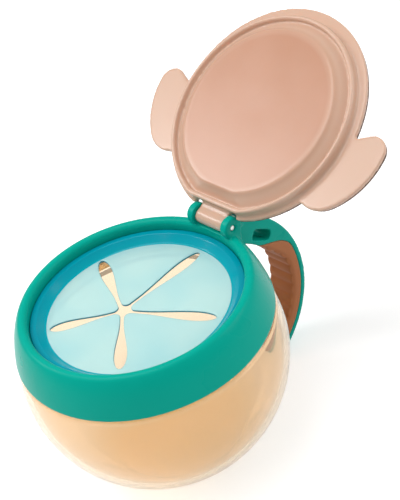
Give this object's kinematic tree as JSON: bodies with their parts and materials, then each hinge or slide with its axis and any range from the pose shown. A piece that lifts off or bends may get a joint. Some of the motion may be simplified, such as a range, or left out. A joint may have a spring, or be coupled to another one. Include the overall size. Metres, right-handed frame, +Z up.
{
  "type": "toddler snack container",
  "caption": "Round toddler snack cup with a side handle, a hinged lid with rounded side tabs, and a soft slotted guard over the mouth.",
  "frame": {"origin": "centre of the cup's flat foot, on the table", "axes": "+Z up the cup's axis, +X towards the hinge and the handle, +Y along the hinge pin"},
  "size_m": [0.1481, 0.1026, 0.1118],
  "materials": {
    "cup_plastic": "glossy, clear amber peach",
    "collar_plastic": "satin",
    "grip_rubber": "matte, ribbed",
    "guard_elastomer": "clear blue, glossy",
    "lid_plastic": "glossy peach",
    "panel_plastic": "satin dark brown",
    "pin_steel": "cropped wire"
  },
  "bodies": {
    "cup": {"cup": "cup_plastic"},
    "collar": {"collar": "collar_plastic", "handle_grip": "grip_rubber", "guard_ring": "guard_elastomer", "hinge_pin": "pin_steel"},
    "lid": {"lid": "lid_plastic", "lid_panel": "panel_plastic"},
    "flap_1": {"flap_1": "guard_elastomer"},
    "flap_2": {"flap_2": "guard_elastomer"},
    "flap_3": {"flap_3": "guard_elastomer"},
    "flap_4": {"flap_4": "guard_elastomer"},
    "flap_5": {"flap_5": "guard_elastomer"}
  },
  "joints": [
    {"name": "collar_turn", "type": "hinge", "parent": "cup", "child": "collar", "pos_m": [0, 0, 0.05085], "axis": [0, 0, 1], "range_deg": [0, 45]},
    {"name": "lid_hinge", "type": "hinge", "parent": "collar", "child": "lid", "pos_m": [0.0381, 0, 0.06755], "axis": [0, 1, 0], "range_deg": [-147, 0]},
    {"name": "flap_1_bend", "type": "hinge", "parent": "collar", "child": "flap_1", "pos_m": [-0.00655, 0.02124, 0.0587], "axis": [-0.9466, -0.3223, 0], "range_deg": [-70, 35], "stiffness_Nm_per_rad": 0.005},
    {"name": "flap_2_bend", "type": "hinge", "parent": "collar", "child": "flap_2", "pos_m": [0.0174, 0.01383, 0.0587], "axis": [-0.599, 0.8007, 0], "range_deg": [-70, 35], "stiffness_Nm_per_rad": 0.005},
    {"name": "flap_3_bend", "type": "hinge", "parent": "collar", "child": "flap_3", "pos_m": [0.01775, -0.01124, 0.0587], "axis": [0.5764, 0.8171, 0], "range_deg": [-70, 35], "stiffness_Nm_per_rad": 0.005},
    {"name": "flap_4_bend", "type": "hinge", "parent": "collar", "child": "flap_4", "pos_m": [-0.00598, -0.01932, 0.0587], "axis": [0.9553, -0.2957, 0], "range_deg": [-70, 35], "stiffness_Nm_per_rad": 0.005},
    {"name": "flap_5_bend", "type": "hinge", "parent": "collar", "child": "flap_5", "pos_m": [-0.021, 0.00075, 0.0587], "axis": [0.014, -0.9999, 0], "range_deg": [-70, 35], "stiffness_Nm_per_rad": 0.005}
  ]
}
